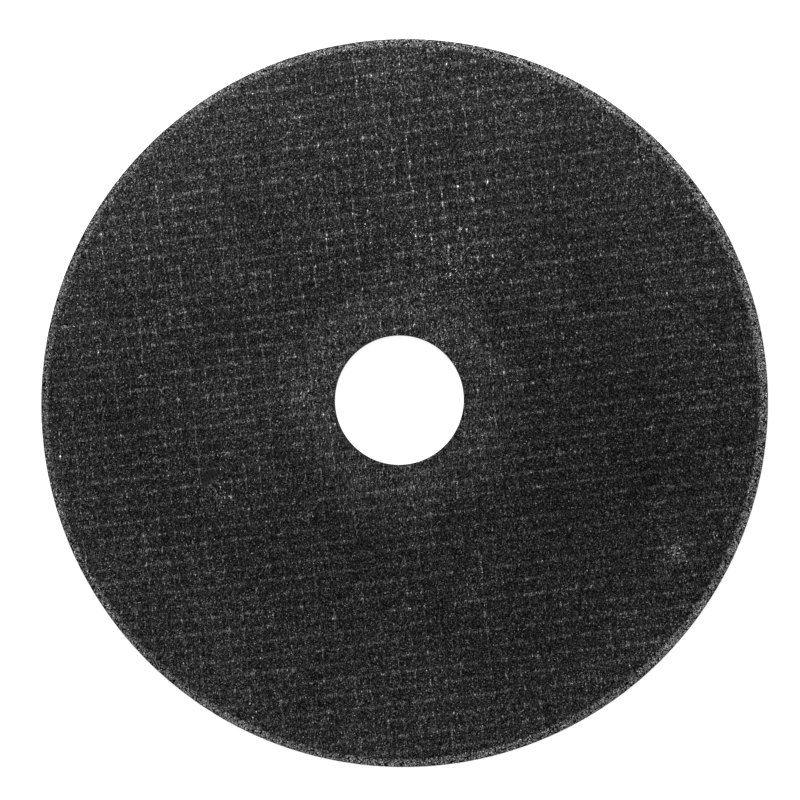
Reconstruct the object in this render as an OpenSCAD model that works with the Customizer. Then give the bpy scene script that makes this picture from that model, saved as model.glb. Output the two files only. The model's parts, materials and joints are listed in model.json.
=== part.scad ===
// Flat cut-off wheel for an angle grinder: one thin pressed disc of bonded abrasive grain.
// The origin is the centre of the bore on the underside, and +Z is the spindle axis.
// Both faces show the woven glass mesh that is pressed into them. Its proud yarns run as low
// ridges from the flange seat out to a bare land of grit at the rim.
// All sizes are in millimetres.

/* [Wheel] */
// Outside diameter
wheel_d = 125; // [100:1:150]
// Thickness over the two flange seats
wheel_t = 1.2; // [1:0.1:3.2]
// Diameter of the bore that drops over the spindle collar
bore_d = 22.23; // [16:0.01:25.4]

/* [Flange seats] */
// Diameter of the flat seat around the bore, on each face
seat_d = 41; // [34:1:60]
// Step from a flange seat down to the face around it
seat_step = 0.1; // [0.06:0.01:0.2]

/* [Rim] */
// Width of the bare land of grit outside the mesh
rim_land = 1.2; // [0.5:0.1:4]
// Radius that rounds both edges of the rim
rim_edge_r = 0.25; // [0.1:0.05:0.35]

/* [Woven mesh] */
// Spacing of the yarns
yarn_pitch = 2.54; // [2:0.01:6]
// Width of a yarn where it rises out of the face
yarn_w = 0.6; // [0.3:0.05:1]
// Height of a yarn above the face
yarn_h = 0.06; // [0.04:0.01:0.15]
// Slope of the yarns on the upper face, in degrees
upper_slope = 7.2; // [-45:0.1:45]
// Slope of the yarns on the underside, in degrees
lower_slope = 34; // [-45:0.1:45]

/* [Hidden] */

// How far the yarns run in under the flange seats
yarn_anchor = 1;

wheel_r = wheel_d / 2;
bore_r = bore_d / 2;
seat_r = seat_d / 2;
mesh_r = wheel_r - rim_land;
face_t = wheel_t - 2 * seat_step;
// A yarn's crest is an arc yarn_w wide and yarn_h high
yarn_r = (yarn_w * yarn_w / 4 + yarn_h * yarn_h) / (2 * yarn_h);
// Yarns on each side of the one that crosses the middle
side_yarns = floor((mesh_r - yarn_w) / yarn_pitch);

$fn = 128;

// Half section of the disc, from the bore to the rim
module disc_section() {
    translate([bore_r, 0])
        square([seat_r - bore_r, wheel_t]);
    translate([bore_r, seat_step])
        square([wheel_r - rim_edge_r - bore_r, face_t]);
    translate([bore_r, seat_step + rim_edge_r])
        square([wheel_r - bore_r, face_t - 2 * rim_edge_r]);
    for (z = [seat_step + rim_edge_r, wheel_t - seat_step - rim_edge_r])
        translate([wheel_r - rim_edge_r, z])
            circle(r = rim_edge_r);
}

// Ring of the upper half of the wheel that the mesh covers
module mesh_zone() {
    translate([0, 0, wheel_t / 2])
        difference() {
            cylinder(r = mesh_r, h = wheel_t);
            translate([0, 0, -wheel_t])
                cylinder(r = seat_r - yarn_anchor, h = 3 * wheel_t);
        }
}

// Parallel yarns across the upper face, punched to the round of the mesh
module yarn_ridges(slope) {
    crest_z = wheel_t - seat_step + yarn_h;
    intersection() {
        rotate(slope)
            for (row = [-side_yarns : side_yarns])
                translate([0, row * yarn_pitch, crest_z - yarn_r])
                    rotate([0, 90, 0])
                        cylinder(r = yarn_r, h = wheel_d, center = true);
        mesh_zone();
    }
}

// The whole wheel is pressed and cured as one piece
module abrasive_disc() {
    color([0.19, 0.19, 0.19])
        union() {
            rotate_extrude()
                disc_section();
            yarn_ridges(upper_slope);
            translate([0, 0, wheel_t])
                rotate([180, 0, 0])
                    yarn_ridges(lower_slope);
        }
}

abrasive_disc();
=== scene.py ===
import json
import math
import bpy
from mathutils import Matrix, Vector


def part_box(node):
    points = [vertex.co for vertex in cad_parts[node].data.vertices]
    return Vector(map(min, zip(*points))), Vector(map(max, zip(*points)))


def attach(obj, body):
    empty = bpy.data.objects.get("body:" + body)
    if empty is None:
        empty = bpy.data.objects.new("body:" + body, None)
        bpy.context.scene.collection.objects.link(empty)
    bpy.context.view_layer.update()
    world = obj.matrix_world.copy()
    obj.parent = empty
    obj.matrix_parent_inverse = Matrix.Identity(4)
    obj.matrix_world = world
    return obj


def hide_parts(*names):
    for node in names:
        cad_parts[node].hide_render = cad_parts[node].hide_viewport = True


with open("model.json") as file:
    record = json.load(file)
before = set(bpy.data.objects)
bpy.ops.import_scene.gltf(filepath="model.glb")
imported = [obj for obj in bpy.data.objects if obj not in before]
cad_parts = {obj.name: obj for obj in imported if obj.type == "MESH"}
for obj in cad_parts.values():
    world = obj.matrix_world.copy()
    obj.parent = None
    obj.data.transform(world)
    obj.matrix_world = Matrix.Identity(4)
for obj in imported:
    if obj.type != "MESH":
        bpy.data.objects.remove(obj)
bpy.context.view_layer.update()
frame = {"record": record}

from types import SimpleNamespace

import bpy
import numpy as np
from mathutils import Matrix, Vector, geometry, noise

# Sizes of the wheel, in millimetres
MM = 0.001
NODE = "abrasive_disc"
low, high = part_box(NODE)
bore = next(mount for mount in frame["record"]["mounts"] if mount["name"] == "bore")
WHEEL_R = (high.x - low.x) / 2 / MM
WHEEL_T = (high.z - low.z) / MM
BORE_R = bore["dims"]["r_mm"]
SEAT_R = 20.5
SEAT_STEP = 0.1
RIM_LAND = 1.2
RIM_EDGE_R = 0.25
YARN_PITCH = 2.54
YARN_W = 0.6
YARN_H = 0.06
FACE_Z = WHEEL_T - SEAT_STEP
MESH_R = WHEEL_R - RIM_LAND
FACE_EDGE_R = WHEEL_R - RIM_EDGE_R

# The mesh was laid a little off the wheel's centre, so the bare land is wider on one side
MESH_SHIFT = (-0.08, -0.01)

# Yarns counted from the middle of the wheel. Each value is a number of yarns at DRIFT_R from
# there: along x and along y, then the slow bends that the mesh took when it was pressed.
DRIFT_R = 60.0
UPPER_WEFT = dict(start=0.08, x=-3.1, y=23.8, xxx=0.2, xyy=0.3, yyy=-0.7)
UPPER_WARP = dict(start=-0.27, x=23.2, y=2.4, xx=0.1, xxx=-0.3, xxy=-0.1, xyy=-0.2, yyy=-0.1)
LOWER_SLOPE = math.radians(-34)
LOWER_ACROSS = DRIFT_R / YARN_PITCH * math.cos(LOWER_SLOPE)
LOWER_ALONG = DRIFT_R / YARN_PITCH * math.sin(LOWER_SLOPE)
LOWER_WEFT = dict(start=0.0, x=-LOWER_ALONG, y=LOWER_ACROSS, xy=0.3, yyy=-0.4)
LOWER_WARP = dict(start=0.2, x=LOWER_ACROSS, y=LOWER_ALONG, xx=0.3, xxx=-0.3)


def yarns(px, py, start, x, y, xx=0.0, xy=0.0, xxx=0.0, xxy=0.0, xyy=0.0, yyy=0.0):
    """How many yarns lie between the wheel's middle and a point. Whole numbers are on a yarn."""
    a = px / DRIFT_R
    b = py / DRIFT_R
    square = xx * a * a + xy * a * b
    cube = xxx * a**3 + xxy * a * a * b + xyy * a * b * b + yyy * b**3
    return start + x * a + y * b + square + cube


def smooth_step(low_edge, high_edge, value):
    t = np.clip((value - low_edge) / (high_edge - low_edge), 0, 1)
    return t * t * (3 - 2 * t)


def bell(distance, width):
    return np.exp(-((distance / width) ** 2))


def grain_noise(points, size, seed):
    """Smooth noise from about -1 to 1 at each point, with lumps of the given size."""
    return np.array([noise.noise(Vector((p[0] / size, p[1] / size, p[2] / size + seed))) for p in points])


# Points of a face. The land's rings lie at these depths in from the face's edge.

YARNS_EACH_WAY = 27
SOLVING_ROUNDS = 8
RIM_STEPS = 1400
BORE_STEPS = 240
HALF_STEP = 0.5
LAND_RINGS = (0.3, 0.6, 0.9)
LAND_GAP = 0.2
BORE_RING = 0.4
BORE_GAP = 1.6 * BORE_RING
WHOLE_HULL = 0
WELD_DISTANCE = 1e-7


def lattice_points(weft, warp, offsets):
    """Points along every yarn and between them, at the same offsets from each yarn."""
    rows = np.arange(-YARNS_EACH_WAY, YARNS_EACH_WAY + 1)
    counts = (rows[:, None] + np.array(offsets)[None, :] / YARN_PITCH).ravel()
    target_u, target_v = np.meshgrid(counts, counts)
    target = np.stack([target_u.ravel() - weft["start"], target_v.ravel() - warp["start"]])
    turn = np.linalg.inv(np.array([[weft["x"], weft["y"]], [warp["x"], warp["y"]]]) / DRIFT_R)
    spot = turn @ target
    for _ in range(SOLVING_ROUNDS):
        reached_u = yarns(*spot, **weft) - weft["start"]
        reached_v = yarns(*spot, **warp) - warp["start"]
        spot = spot + turn @ (target - np.stack([reached_u, reached_v]))
    return spot.T


def ring(radius, count, phase=0.0):
    angle = 2 * np.pi * (np.arange(count) + phase) / count
    return np.stack([radius * np.cos(angle), radius * np.sin(angle)], 1)


def face_points(weft, warp, offsets):
    """All points of one face. The rim ring comes first and the bore ring second."""
    inner = lattice_points(weft, warp, offsets)
    radius = np.hypot(inner[:, 0], inner[:, 1])
    keep = (radius > BORE_R + BORE_GAP) & (radius < FACE_EDGE_R - LAND_RINGS[-1] - LAND_GAP)
    rings = [ring(FACE_EDGE_R, RIM_STEPS), ring(BORE_R, BORE_STEPS)]
    rings.append(ring(BORE_R + BORE_RING, BORE_STEPS, HALF_STEP))
    for row, depth in enumerate(LAND_RINGS):
        rings.append(ring(FACE_EDGE_R - depth, RIM_STEPS, HALF_STEP * (row + 1)))
    return np.concatenate(rings + [inner[keep]])


def triangulate(points):
    """Triangles over the face, with the bore left open."""
    rim = [(i, (i + 1) % RIM_STEPS) for i in range(RIM_STEPS)]
    hole = [(RIM_STEPS + i, RIM_STEPS + (i + 1) % BORE_STEPS) for i in range(BORE_STEPS)]
    flat = [Vector(p) for p in points]
    _, _, faces, origin, _, _ = geometry.delaunay_2d_cdt(flat, rim + hole, [], WHOLE_HULL, WELD_DISTANCE)
    index = np.array([o[0] for o in origin])
    faces = index[np.array(faces)]
    middle = points[faces].mean(1)
    return faces[np.hypot(middle[:, 0], middle[:, 1]) > BORE_R]


# Heights of a face. Each pair of radii is where a zone starts to change and where it has changed.

MESH_STARTS = (SEAT_R - 0.5, SEAT_R + 1.5)
MESH_ENDS = (MESH_R - 0.3, MESH_R)
SEAT_ENDS = (SEAT_R - 0.4, SEAT_R + 0.6)
LAND_STARTS = (MESH_R - 0.2, MESH_R + 0.2)
LAND_DROP = 0.02
CROSSING_W = 0.5
CROSSING_LIFT = 0.3
WARP_SHARE = 0.4
UNEVEN_SIZE = 3.1
UNEVEN_SHARE = 0.4
LUMP_SIZE = 0.45
LUMP_SEED = 7.0
SEAT_LUMPS = 0.006
MESH_LUMPS = 0.02
LAND_LUMPS = 0.03


def face_heights(points, weft, warp, seed):
    """Height of each point above the face: yarns, flange seat and grain."""
    x, y = points.T
    radius = np.hypot(x, y)
    u = yarns(x, y, **weft)
    v = yarns(x, y, **warp)
    off_weft = np.abs(u - np.round(u)) * YARN_PITCH
    off_warp = np.abs(v - np.round(v)) * YARN_PITCH
    over = np.cos(np.pi * np.round(u)) * np.cos(np.pi * np.round(v))
    lift = CROSSING_LIFT * over * bell(off_weft, CROSSING_W) * bell(off_warp, CROSSING_W)
    flat = np.stack([x, y, np.zeros_like(x)], 1)
    uneven = UNEVEN_SHARE * grain_noise(flat, UNEVEN_SIZE, seed)
    weft_ridge = bell(off_weft, YARN_W / 2) * (1 + lift + uneven)
    warp_ridge = WARP_SHARE * bell(off_warp, YARN_W / 2) * (1 - lift + uneven)
    meshed = smooth_step(*MESH_STARTS, radius) * (1 - smooth_step(*MESH_ENDS, radius))
    seat = SEAT_STEP * (1 - smooth_step(*SEAT_ENDS, radius))
    land = smooth_step(*LAND_STARTS, radius)
    lump_height = SEAT_LUMPS + MESH_LUMPS * meshed + LAND_LUMPS * land
    lumps = grain_noise(flat, LUMP_SIZE, seed + LUMP_SEED) * lump_height
    height = YARN_H * meshed * np.maximum(weft_ridge, warp_ridge) + seat + lumps - LAND_DROP * land
    return np.minimum(height, SEAT_STEP)


# The wheel's closed surface. Each kind of grit has a lump size, a seed and a share.

UPPER_OFFSETS = (-0.27, 0.0, 0.27, 0.85, 1.7)
LOWER_OFFSETS = (-0.27, 0.0, 0.27, 1.28)
UPPER_SEED = 0.0
LOWER_SEED = 40.0
GRIT_KINDS = ((0.4, 3.0, 1.0), (0.17, 9.0, 0.5))
RIM_GRIT = 0.07
BORE_GRIT = -0.6 * RIM_GRIT
EDGE_ANGLES = (22.5, 45, 67.5, 90)
WALL_ROWS = 3
BORE_ROWS = 4
SHARP_ANGLE = 50
WEAVE = "weave"


def rim_profile():
    """Radius and height down the rim, between the two face edges."""
    top = []
    for angle in map(math.radians, EDGE_ANGLES):
        drop = RIM_EDGE_R * (1 - math.cos(angle))
        top.append((FACE_EDGE_R + RIM_EDGE_R * math.sin(angle), FACE_Z - drop))
    bottom = [(r, WHEEL_T - z) for r, z in reversed(top)]
    wall_top = top[-1][1]
    wall_step = (bottom[0][1] - wall_top) / (WALL_ROWS + 1)
    wall = [(WHEEL_R, wall_top + wall_step * row) for row in range(1, WALL_ROWS + 1)]
    return top + wall + bottom


def wall_rows(profile, count, grit):
    """Rings of rough points down a round wall. The grit bites inward where it is above zero."""
    rows = []
    for row, (radius, z) in enumerate(profile):
        flat = ring(radius, count, HALF_STEP * (row % 2))
        points = np.column_stack([flat, np.full(count, z)])
        rough = sum(share * np.abs(grain_noise(points, size, seed)) for size, seed, share in GRIT_KINDS)
        points[:, :2] *= (1 - grit * rough / radius)[:, None]
        rows.append(points)
    return rows


def stitch(first, second, count):
    """Triangles between two rings of points, seen from the side where the second is lower."""
    triangles = []
    for i in range(count):
        j = (i + 1) % count
        triangles.append((first + i, second + i, second + j))
        triangles.append((first + i, second + j, first + j))
    return triangles


def add_weave(mesh, verts, under):
    """Stores each point's count of weft and warp yarns. Under marks the points of the lower face."""
    x, y = verts[:, 0], verts[:, 1]
    u = np.where(under, yarns(x, y, **LOWER_WEFT), yarns(x, y, **UPPER_WEFT))
    v = np.where(under, yarns(x, y, **LOWER_WARP), yarns(x, y, **UPPER_WARP))
    weave = mesh.attributes.new(WEAVE, "FLOAT_VECTOR", "POINT")
    weave.data.foreach_set("vector", np.column_stack([u, v, np.zeros(len(u))]).ravel())


def wheel_mesh():
    upper = face_points(UPPER_WEFT, UPPER_WARP, UPPER_OFFSETS)
    lower = face_points(LOWER_WEFT, LOWER_WARP, LOWER_OFFSETS)
    upper_z = FACE_Z + face_heights(upper, UPPER_WEFT, UPPER_WARP, UPPER_SEED)
    lower_z = SEAT_STEP - face_heights(lower, LOWER_WEFT, LOWER_WARP, LOWER_SEED)
    rim_rows = wall_rows(rim_profile(), RIM_STEPS, RIM_GRIT)
    bore_z = [WHEEL_T * (1 - row / (BORE_ROWS + 1)) for row in range(1, BORE_ROWS + 1)]
    bore_rows = wall_rows([(BORE_R, z) for z in bore_z], BORE_STEPS, BORE_GRIT)
    parts = [np.column_stack([upper, upper_z]), np.column_stack([lower, lower_z])] + rim_rows + bore_rows
    starts = np.cumsum([0] + [len(p) for p in parts])
    verts = np.concatenate(parts)

    faces = [tuple(f) for f in triangulate(upper)]
    faces += [tuple(f[::-1] + starts[1]) for f in triangulate(lower)]
    smooth_faces = len(faces)
    first_bore = 2 + len(rim_rows)
    rim_starts = [0] + list(starts[2:first_bore]) + [starts[1]]
    for first, second in zip(rim_starts, rim_starts[1:]):
        faces += stitch(first, second, RIM_STEPS)
    bore_starts = [RIM_STEPS] + list(starts[first_bore : first_bore + BORE_ROWS]) + [starts[1] + RIM_STEPS]
    for first, second in zip(bore_starts, bore_starts[1:]):
        faces += [f[::-1] for f in stitch(first, second, BORE_STEPS)]

    mesh = bpy.data.meshes.new("cut_off_wheel")
    mesh.from_pydata((verts * MM).tolist(), [], [tuple(int(i) for i in f) for f in faces])
    mesh.polygons.foreach_set("use_smooth", [i < smooth_faces for i in range(len(faces))])
    under = np.zeros(len(verts), bool)
    under[starts[1] : starts[2]] = True
    add_weave(mesh, verts, under)
    mesh.update()
    mesh.set_sharp_from_angle(angle=math.radians(SHARP_ANGLE))
    return mesh


# Nodes of a material. A term is a number or another node's socket.

NOISE_MIDDLE = 0.5
FINE_DETAIL = 3.0
HALF_YARN = 0.5


def calc(tree, operation, *terms, clamp=False):
    made = tree.nodes.new("ShaderNodeMath")
    made.operation = operation
    made.use_clamp = clamp
    for socket, term in zip(made.inputs, terms):
        if isinstance(term, (int, float)):
            socket.default_value = term
        else:
            tree.links.new(term, socket)
    return made.outputs[0]


def add_up(tree, *terms):
    total = terms[0]
    for term in terms[1:]:
        total = calc(tree, "ADD", total, term)
    return total


def product(tree, *terms):
    total = terms[0]
    for term in terms[1:]:
        total = calc(tree, "MULTIPLY", total, term)
    return total


def less(tree, value, taken):
    return calc(tree, "SUBTRACT", value, taken)


def between(tree, share, at_zero, at_one):
    """A number that goes from at_zero to at_one as the share goes from 0 to 1."""
    return calc(tree, "MULTIPLY_ADD", share, at_one - at_zero, at_zero)


def ramp(tree, value, start, end, low_value=0.0, high_value=1.0):
    """A smooth change from low_value at start to high_value at end."""
    made = tree.nodes.new("ShaderNodeMapRange")
    made.interpolation_type = "SMOOTHSTEP"
    tree.links.new(value, made.inputs["Value"])
    numbers = {"From Min": start, "From Max": end, "To Min": low_value, "To Max": high_value}
    for name, number in numbers.items():
        made.inputs[name].default_value = number
    return made.outputs["Result"]


def soft_bell(tree, distance, width):
    """1 on the line, falling off to 0 over about the given width."""
    share = calc(tree, "DIVIDE", distance, width)
    return calc(tree, "EXPONENT", product(tree, share, share, -1.0))


def vector_step(tree, operation, vector, other):
    made = tree.nodes.new("ShaderNodeVectorMath")
    made.operation = operation
    tree.links.new(vector, made.inputs[0])
    made.inputs[1].default_value = other
    return made.outputs


def stretch(tree, vector, scale):
    return vector_step(tree, "MULTIPLY", vector, scale)["Vector"]


def split_axes(tree, vector):
    made = tree.nodes.new("ShaderNodeSeparateXYZ")
    tree.links.new(vector, made.inputs[0])
    return made.outputs


def split_colour(tree, colour):
    made = tree.nodes.new("ShaderNodeSeparateColor")
    tree.links.new(colour, made.inputs[0])
    return made.outputs


def cloud(tree, vector, size, detail=2.0):
    """Noise centred on 0, from about -0.5 to 0.5."""
    made = tree.nodes.new("ShaderNodeTexNoise")
    tree.links.new(vector, made.inputs["Vector"])
    made.inputs["Scale"].default_value = 1 / size
    made.inputs["Detail"].default_value = detail
    return less(tree, made.outputs["Fac"], NOISE_MIDDLE)


def cells(tree, vector, size):
    """Three random numbers for the grain at each point, and the distance from the grain's middle."""
    made = tree.nodes.new("ShaderNodeTexVoronoi")
    tree.links.new(vector, made.inputs["Vector"])
    made.inputs["Scale"].default_value = 1 / size
    return split_colour(tree, made.outputs["Color"]), made.outputs["Distance"]


def patches(tree, place, spots):
    """Soft round patches on the upper face, each with x, y, reach and strength."""
    made = []
    for x, y, reach, strength in spots:
        apart = vector_step(tree, "DISTANCE", place, (x, y, WHEEL_T))["Value"]
        made.append(product(tree, soft_bell(tree, apart, reach), strength))
    return add_up(tree, *made)


def off_yarn(tree, count):
    """Signed distance in millimetres from the nearest yarn."""
    return product(tree, calc(tree, "WRAP", count, HALF_YARN, -HALF_YARN), YARN_PITCH)


def per_crossing(tree, counted):
    """Three random numbers for each crossing of two yarns."""
    shifted = vector_step(tree, "ADD", counted, (HALF_YARN,) * 3)["Vector"]
    whole = tree.nodes.new("ShaderNodeVectorMath")
    whole.operation = "FLOOR"
    tree.links.new(shifted, whole.inputs[0])
    chance = tree.nodes.new("ShaderNodeTexWhiteNoise")
    chance.noise_dimensions = "3D"
    tree.links.new(whole.outputs[0], chance.inputs["Vector"])
    return split_colour(tree, chance.outputs["Color"])


# Zones of the wheel. The edges of the bare rim and of the worn hub wander. FACE_ZONE is measured
# from the middle of the thickness.

RIM_ZONE = (MESH_R - 0.45, MESH_R - 0.05)
RIM_WANDER = 0.45
RIM_WANDER_SIZE = 0.9
HUB_ZONE = (15.0, 23.0)
HUB_WANDER = 6.0
HUB_WANDER_SIZE = 9.0
FACE_ZONE = (0.34, 0.44)
SWAY = 0.45
SWAY_SIZE = 3.0


def distance_from_axis(tree, x, y):
    return calc(tree, "SQRT", add_up(tree, product(tree, x, x), product(tree, y, y)))


def wheel_places(tree):
    """Where a point lies: in millimetres, in yarns, and how much of each zone it has."""
    at = SimpleNamespace()
    here = tree.nodes.new("ShaderNodeTexCoord").outputs["Object"]
    at.place = stretch(tree, here, (1 / MM,) * 3)
    at.x, y, z = split_axes(tree, at.place)
    at.radius = distance_from_axis(tree, at.x, y)
    weave = tree.nodes.new("ShaderNodeAttribute")
    weave.attribute_name = WEAVE
    at.counted = weave.outputs["Vector"]
    u, at.v, _ = split_axes(tree, at.counted)
    at.odd = calc(tree, "PINGPONG", calc(tree, "ROUND", u), 1.0)
    at.off_weft = off_yarn(tree, u)
    at.off_warp = off_yarn(tree, at.v)
    sway = product(tree, cloud(tree, at.place, SWAY_SIZE), SWAY)
    at.off_swayed_warp = add_up(tree, at.off_warp, sway)

    mesh_r = distance_from_axis(tree, less(tree, at.x, MESH_SHIFT[0]), less(tree, y, MESH_SHIFT[1]))
    rim_wander = product(tree, cloud(tree, at.place, RIM_WANDER_SIZE, FINE_DETAIL), RIM_WANDER)
    at.rim = ramp(tree, add_up(tree, mesh_r, rim_wander), *RIM_ZONE)
    at.not_rim = less(tree, 1.0, at.rim)
    hub_wander = product(tree, cloud(tree, at.place, HUB_WANDER_SIZE), HUB_WANDER)
    at.hub = ramp(tree, add_up(tree, at.radius, hub_wander), *HUB_ZONE, 1.0, 0.0)
    from_middle = calc(tree, "ABSOLUTE", less(tree, z, WHEEL_T / 2))
    at.near_face = ramp(tree, from_middle, *FACE_ZONE)
    return at


# Light of the yarns. Levels add up to an exponent, so 0.1 more is about a tenth lighter. The pairs
# for dashes and knots are for the even and the odd weft rows.

WEFT_LINE_W = 0.29
WEFT_LEVEL = 0.57
WEFT_BREAKS = dict(scale=(2.3, 0.9, 1.0), edges=(-0.15, 0.25), strengths=(0.7, 1.4))
DASH_AT = (-0.2, 0.23)
DASH_W = 0.68
DASH_LEVEL = (0.68, 0.5)

WARP_LINE_W = 0.1
WARP_LEVEL = 0.95
WARP_HUB_LEVEL = 0.4
WARP_BREAKS = dict(scale=(1.3, 2.9, 1.0), edges=(-0.08, 0.14), strengths=(0.8, 1.25))
WARP_STRENGTHS = (0.85, 1.15)
ABOVE_WEFT = 0.72
ABOVE_WEFT_W = 0.28
ABOVE_WEFT_DIP = -0.85
UNDER_WEFT_W = 0.35
UNDER_WEFT_DIP = -0.9

KNOT_AT = (0.22, -0.19)
KNOT_STRAY = 0.06
KNOT_W = 0.16
KNOT_RISE = 0.04
KNOT_H = 0.6
KNOT_LEVEL = (0.2, 0.08)
KNOT_SPREAD = 1.32

# Painted shadows beside each warp yarn, deeper on its right side as if lit from the left: place, width and
# level
PAINTED_WARP_SHADOWS = (
    (0.37, 0.15, -0.22),
    (-0.34, 0.13, -0.1),
)

# The whole mesh: how unevenly it shows, how much less on the hub, and the level between yarns
PULL = 0.75
PULL_SIZE = 4.0
HUB_MESH = -0.46
FLOOR_LEVEL = -0.2
ONE_PER_WARP = (0.0, 1.0, 0.0)

# Places on the upper face where the whole mesh shows more or less: x, y, reach and change
MESH_PATCHES = (
    (-32.0, -2.0, 18.0, 0.25),
    (28.0, 0.0, 14.0, 0.2),
    (2.0, 36.0, 20.0, 0.15),
)

# Places on the upper face where the warp shows more or less: x, y, reach and change
WARP_PATCHES = (
    (2.0, 36.0, 20.0, 0.2),
    (-32.0, 36.0, 30.0, 0.35),
    (42.0, -8.0, 28.0, -0.5),
)

# Places on the upper face where the knots show more or less: x, y, reach and change
KNOT_PATCHES = (
    (2.0, 36.0, 20.0, 0.7),
    (40.0, 36.0, 22.0, -0.3),
    (46.0, -14.0, 28.0, -0.42),
    (-44.0, -26.0, 20.0, -0.22),
)


def breaks(tree, at, scale, edges, strengths):
    """How strongly a yarn shows from place to place along it."""
    return ramp(tree, cloud(tree, stretch(tree, at.counted, scale), 1.0), *edges, *strengths)


def weft_light(tree, at):
    """Weft yarns, with a lighter dash that changes sides from one row to the next."""
    off_dash = off_yarn(tree, less(tree, at.v, between(tree, at.odd, *DASH_AT)))
    dash = product(tree, soft_bell(tree, off_dash, DASH_W), between(tree, at.odd, *DASH_LEVEL))
    line = soft_bell(tree, at.off_weft, WEFT_LINE_W)
    return product(tree, line, breaks(tree, at, **WEFT_BREAKS), add_up(tree, dash, WEFT_LEVEL))


def warp_light(tree, at):
    """Thin warp lines that fade just above each weft yarn and under it."""
    above = soft_bell(tree, less(tree, at.off_weft, ABOVE_WEFT), ABOVE_WEFT_W)
    under = soft_bell(tree, at.off_weft, UNDER_WEFT_W)
    dip = add_up(tree, 1.0, product(tree, above, ABOVE_WEFT_DIP), product(tree, under, UNDER_WEFT_DIP))
    local = patches(tree, at.place, WARP_PATCHES)
    level = add_up(tree, WARP_LEVEL, product(tree, at.hub, WARP_HUB_LEVEL), local)
    line = soft_bell(tree, at.off_swayed_warp, WARP_LINE_W)
    return product(tree, line, breaks(tree, at, **WARP_BREAKS), dip, level)


def knot_light(tree, at):
    """Bright knots where the warp crosses the weft, each of its own brightness."""
    bright, aside, _ = per_crossing(tree, at.counted)
    knot_at = add_up(tree, between(tree, at.odd, *KNOT_AT), between(tree, aside, KNOT_STRAY, -KNOT_STRAY))
    across = soft_bell(tree, less(tree, at.off_warp, knot_at), KNOT_W)
    along = soft_bell(tree, less(tree, at.off_weft, KNOT_RISE), KNOT_H)
    level = add_up(tree, product(tree, bright, KNOT_SPREAD), between(tree, at.odd, *KNOT_LEVEL))
    local = add_up(tree, 1.0, patches(tree, at.place, KNOT_PATCHES))
    return product(tree, along, across, level, local)


def mesh_light(tree, at):
    """The whole mesh, with painted shadows beside the warp, on the faces and inside the bare rim."""
    thick, _, _ = per_crossing(tree, stretch(tree, at.counted, ONE_PER_WARP))
    warp_strength = between(tree, thick, *WARP_STRENGTHS)
    warp = product(tree, add_up(tree, warp_light(tree, at), knot_light(tree, at)), warp_strength)
    shown = add_up(tree, weft_light(tree, at), warp)
    # Painted shadow strips beside each warp yarn
    for shadow_at, width, level in PAINTED_WARP_SHADOWS:
        painted_shadow = soft_bell(tree, less(tree, at.off_warp, shadow_at), width)
        shown = add_up(tree, shown, product(tree, painted_shadow, level))
    pull = product(tree, cloud(tree, at.counted, PULL_SIZE, FINE_DETAIL), PULL)
    local = patches(tree, at.place, MESH_PATCHES)
    strength = add_up(tree, 1.0, pull, product(tree, at.hub, HUB_MESH), local)
    yarn_light = product(tree, shown, strength)
    return product(tree, add_up(tree, yarn_light, FLOOR_LEVEL), at.not_rim, at.near_face)


# Light of the grain. Grains on the yarns and on the hub are drawn out along y.

GRAIN_SIZE = 0.14
GRAIN_CONTRAST = 2.28
GRAIN_SCALE = (1.06, 0.9, 1.0)
DRAWN_SCALE = (1.15, 0.24, 1.0)
MEAN_OF_THREE = 1.5
NEAR_WEFT_W = 0.55
NEAR_WARP_W = 0.3
ON_YARN_FROM = 0.5
LOOSE_ON_YARN = -0.28
DRAWN_ON_YARN = 0.5
HUB_CONTRAST = 0.06
RIM_CONTRAST = -0.3
CONTRAST_DRIFT = 0.45
CONTRAST_DRIFT_SIZE = 2.2

# Fine fibres along the warp and small clumps of grain
FIBRES = 0.6
FIBRE_SCALE = (0.9, 8.0, 1.0)
CLUMPS = 0.08
CLUMP_SIZE = 0.6

# Painted glints on single grains, and dark pores, picked by a random number from 0 to 1. The rim has more
# and darker pores.
SPECK_SIZE = 0.19
PAINTED_GLINT_SHARE = (0.975, 0.985)
PAINTED_GLINT_LEVEL = 0.7
PORE_SHARE = (0.7, 0.8)
PORE_SHARE_ON_RIM = 0.1
PORE_LEVEL = -1.8
PORE_LEVEL_ON_RIM = -3.5

# Places on the upper face where the grain glitters more: x, y, reach and change
BUSY_SPOTS = (
    (8.0, 22.5, 7.0, 0.25),
    (46.9, -25.8, 2.5, 0.25),
    (-31.5, -16.0, 3.0, 0.45),
)


def grain_light(tree, at, loose_numbers):
    """Light and dark grains, all over the wheel."""
    drawn_numbers, _ = cells(tree, stretch(tree, at.place, DRAWN_SCALE), GRAIN_SIZE)
    loose = less(tree, add_up(tree, *loose_numbers), MEAN_OF_THREE)
    drawn = less(tree, add_up(tree, *drawn_numbers), MEAN_OF_THREE)
    near_weft = soft_bell(tree, at.off_weft, NEAR_WEFT_W)
    near_warp = soft_bell(tree, at.off_swayed_warp, NEAR_WARP_W)
    nearest = calc(tree, "MAXIMUM", calc(tree, "MAXIMUM", near_weft, near_warp), at.hub)
    on_yarn = product(tree, calc(tree, "GREATER_THAN", nearest, ON_YARN_FROM), at.not_rim)
    loose_lost = product(tree, loose, on_yarn, LOOSE_ON_YARN)
    both = add_up(tree, loose, loose_lost, product(tree, drawn, on_yarn, DRAWN_ON_YARN))
    zones = add_up(tree, product(tree, at.hub, HUB_CONTRAST), product(tree, at.rim, RIM_CONTRAST))
    drift = product(tree, cloud(tree, at.place, CONTRAST_DRIFT_SIZE), CONTRAST_DRIFT)
    contrast = add_up(tree, 1.0, zones, drift, patches(tree, at.place, BUSY_SPOTS))
    return product(tree, both, contrast, GRAIN_CONTRAST)


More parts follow.
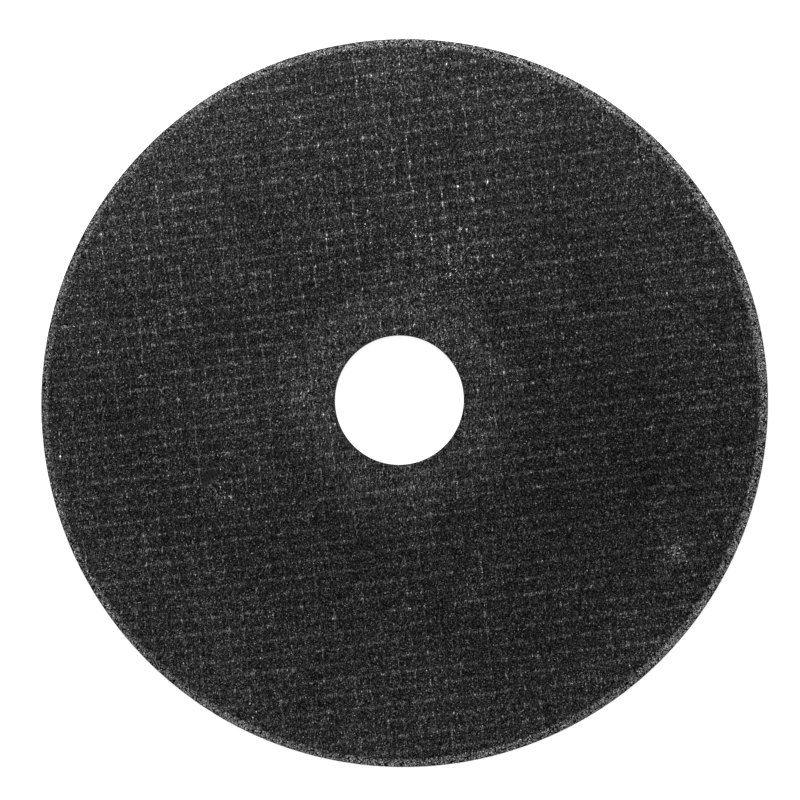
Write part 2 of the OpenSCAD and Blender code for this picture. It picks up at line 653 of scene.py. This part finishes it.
def clump_light(tree, at):
    fibres = product(tree, cloud(tree, stretch(tree, at.counted, FIBRE_SCALE), 1.0), FIBRES)
    return add_up(tree, product(tree, cloud(tree, at.place, CLUMP_SIZE), CLUMPS), fibres)


def speck_light(tree, at):
    """Painted glints and pores."""
    (glint_chance, pore, _), _ = cells(tree, at.place, SPECK_SIZE)
    # Painted glints on single grains
    painted_glints = ramp(tree, glint_chance, *PAINTED_GLINT_SHARE, 0.0, PAINTED_GLINT_LEVEL)
    pore_share = add_up(tree, pore, product(tree, at.rim, PORE_SHARE_ON_RIM))
    pore_level = between(tree, at.rim, PORE_LEVEL, PORE_LEVEL_ON_RIM)
    return add_up(tree, painted_glints, product(tree, ramp(tree, pore_share, *PORE_SHARE), pore_level))


# Slow light of dust and wear, with painted light and shade on the upper face and on the bare rim

CLOUDS = 0.85
CLOUD_SIZE = 12.0
HUB_LEVEL = 0.55
RIM_LEVEL = 1.56
# The bare rim is painted lighter towards +x and darker towards -x
RIM_PAINTED_SIDE_LIGHT = 0.15
OUTER_ZONE = (34.0, 62.0)
OUTER_LEVEL = 0.36

# Dusty and worn places on the upper face, mixed with painted light at the top and painted shade at the
# right and lower right: x, y, reach and how much lighter
DUST_AND_PAINTED_LIGHT_PATCHES = (
    (7.0, 28.0, 12.0, 0.2),
    (0.0, -50.0, 17.0, 0.1),
    (-54.0, -4.0, 17.0, -0.25),
    (42.0, -10.0, 20.0, -0.3),
    (-18.0, 0.0, 7.0, 0.3),
    (0.0, -18.0, 6.0, 0.2),
    (-34.0, -3.0, 9.0, 0.18),
    (25.0, -42.0, 15.0, -0.15),
    (46.9, -25.8, 1.7, 1.2),
    (17.4, 0.0, 6.0, -0.2),
    (3.0, 18.0, 6.0, -0.13),
)

# Painted light and shade on the bare rim, darker at the upper left and lighter at the lower left: x, y,
# reach and change
RIM_PAINTED_LIGHT_PATCHES = (
    (-47.0, 41.0, 18.0, -0.32),
    (-31.0, -54.0, 12.0, 0.2),
)

# Spots where smooth resin hides the grain: x, y, reach and share hidden
RESIN_SPOTS = (
    (-32.0, -12.5, 0.8, 1.0),
    (-33.2, -13.4, 0.7, 0.9),
    (-33.8, -14.5, 0.5, 0.8),
)
RESIN_LEVEL = -0.03


def dust_and_painted_light(tree, at):
    clouds = product(tree, cloud(tree, at.place, CLOUD_SIZE, FINE_DETAIL), CLOUDS)
    outer = ramp(tree, at.radius, *OUTER_ZONE, 0.0, OUTER_LEVEL)
    hub = product(tree, at.hub, HUB_LEVEL)
    # Painted light and shade on the bare rim: lighter towards +x, darker at the upper left
    rim_painted_side_light = product(tree, at.x, RIM_PAINTED_SIDE_LIGHT / WHEEL_R)
    rim_level = add_up(tree, rim_painted_side_light, RIM_LEVEL, patches(tree, at.place, RIM_PAINTED_LIGHT_PATCHES))
    # Dust, wear, and painted light and shade on the upper face
    local = patches(tree, at.place, DUST_AND_PAINTED_LIGHT_PATCHES)
    return add_up(tree, clouds, outer, hub, product(tree, at.rim, rim_level), local)


# The material. Its grey is MID_LEVEL times e to the power of all lights. ROUGHNESS is for the
# smoothest and the roughest grain.

MID_LEVEL = 0.0218
SPECULAR = 0.03
ROUGHNESS = (0.57, 0.87)
BUMP_STRENGTH = 0.5
BUMP_HEIGHT = 0.04


def abrasive_material():
    material = bpy.data.materials.new("abrasive")
    material.use_nodes = True
    tree = material.node_tree
    shader = tree.nodes["Principled BSDF"]
    shader.inputs["Specular IOR Level"].default_value = SPECULAR

    at = wheel_places(tree)
    grain_numbers, grain_depth = cells(tree, stretch(tree, at.place, GRAIN_SCALE), GRAIN_SIZE)
    _, second, third = grain_numbers
    clumps = clump_light(tree, at)
    rough_light = add_up(tree, grain_light(tree, at, grain_numbers), clumps, speck_light(tree, at))
    light = add_up(tree, rough_light, mesh_light(tree, at), dust_and_painted_light(tree, at))
    grainy = calc(tree, "SUBTRACT", 1.0, patches(tree, at.place, RESIN_SPOTS), clamp=True)
    resin_light = product(tree, less(tree, 1.0, grainy), RESIN_LEVEL)
    shown = add_up(tree, product(tree, light, grainy), resin_light)
    level = product(tree, calc(tree, "EXPONENT", shown), MID_LEVEL)
    grey = tree.nodes.new("ShaderNodeCombineColor")
    for socket in grey.inputs:
        tree.links.new(level, socket)
    tree.links.new(grey.outputs[0], shader.inputs["Base Color"])

    tree.links.new(between(tree, second, *ROUGHNESS), shader.inputs["Roughness"])
    bump = tree.nodes.new("ShaderNodeBump")
    bump.inputs["Strength"].default_value = BUMP_STRENGTH
    bump.inputs["Distance"].default_value = BUMP_HEIGHT * MM
    tree.links.new(less(tree, add_up(tree, third, clumps), grain_depth), bump.inputs["Height"])
    tree.links.new(bump.outputs[0], shader.inputs["Normal"])
    return material


wheel = bpy.data.objects.new("cut_off_wheel", wheel_mesh())
bpy.context.scene.collection.objects.link(wheel)
wheel.data.materials.append(abrasive_material())
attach(wheel, "root")
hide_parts(NODE)


# Floor, light and camera, in metres

WHITE = (1.0, 1.0, 1.0, 1.0)
FLOOR_HALF = 1.5
FLOOR_COLOUR = (0.8, 0.8, 0.8, 1.0)
FLOOR_GLOW = 0.75
WORLD_LIGHT = 0.42
WORLD_SEEN = 1.0
KEY_PLACE = (-0.038, 0.14, 0.15)
KEY_SIZE = 0.1
KEY_WATTS = 0.28
CAMERA_DISTANCE = 287.5 * MM
CAMERA_LEAN = math.radians(4.7)
CAMERA_BEARING = math.radians(-28.7)
CAMERA_AIM = Vector((0.2, -0.03, FACE_Z)) * MM
CAMERA_LENS = 75.5
CAMERA_CLIP = 0.01


def white_floor():
    """A white floor that keeps the wheel's shadow."""
    mesh = bpy.data.meshes.new("floor")
    signs = ((-1, -1), (1, -1), (1, 1), (-1, 1))
    mesh.from_pydata([(x * FLOOR_HALF, y * FLOOR_HALF, 0) for x, y in signs], [], [(0, 1, 2, 3)])
    floor = bpy.data.objects.new("floor", mesh)
    bpy.context.scene.collection.objects.link(floor)
    material = bpy.data.materials.new("floor")
    material.use_nodes = True
    tree = material.node_tree
    shader = tree.nodes["Principled BSDF"]
    shader.inputs["Base Color"].default_value = FLOOR_COLOUR
    shader.inputs["Roughness"].default_value = 1.0
    shader.inputs["Specular IOR Level"].default_value = 0.0
    shader.inputs["Emission Color"].default_value = WHITE
    path = tree.nodes.new("ShaderNodeLightPath")
    seen = calc(tree, "MAXIMUM", path.outputs["Is Camera Ray"], path.outputs["Is Glossy Ray"])
    seen = calc(tree, "MAXIMUM", seen, path.outputs["Is Transmission Ray"])
    tree.links.new(product(tree, seen, FLOOR_GLOW), shader.inputs["Emission Strength"])
    mesh.materials.append(material)


def studio_world():
    """A white world that lights the wheel softly and looks white behind it."""
    world = bpy.data.worlds.new("studio")
    bpy.context.scene.world = world
    world.use_nodes = True
    tree = world.node_tree
    background = tree.nodes["Background"]
    background.inputs["Color"].default_value = WHITE
    path = tree.nodes.new("ShaderNodeLightPath")
    strength = ramp(tree, path.outputs["Is Camera Ray"], 0, 1, WORLD_LIGHT, WORLD_SEEN)
    tree.links.new(strength, background.inputs["Strength"])


def key_lamp():
    """A round lamp that shines on the middle of the wheel."""
    data = bpy.data.lights.new("key", "AREA")
    data.shape = "DISK"
    data.size = KEY_SIZE
    data.energy = KEY_WATTS
    lamp = bpy.data.objects.new("key", data)
    lamp.location = KEY_PLACE
    lamp.rotation_mode = "QUATERNION"
    lamp.rotation_quaternion = (-Vector(KEY_PLACE)).to_track_quat("-Z", "Y")
    bpy.context.scene.collection.objects.link(lamp)


def look_down():
    """A camera almost straight above, leaning a little to the lower right, with +Y up the picture."""
    lean = math.sin(CAMERA_LEAN)
    back = Vector((lean * math.cos(CAMERA_BEARING), lean * math.sin(CAMERA_BEARING), math.cos(CAMERA_LEAN)))
    right = Vector((0, 1, 0)).cross(back).normalized()
    up = back.cross(right)
    data = bpy.data.cameras.new("camera")
    data.lens = CAMERA_LENS
    data.clip_start = CAMERA_CLIP
    camera = bpy.data.objects.new("camera", data)
    turn = Matrix((right, up, back)).transposed().to_4x4()
    camera.matrix_world = Matrix.Translation(CAMERA_AIM + back * CAMERA_DISTANCE) @ turn
    bpy.context.scene.collection.objects.link(camera)
    bpy.context.scene.camera = camera


white_floor()
studio_world()
key_lamp()
look_down()
bpy.context.scene.view_settings.view_transform = "Standard"
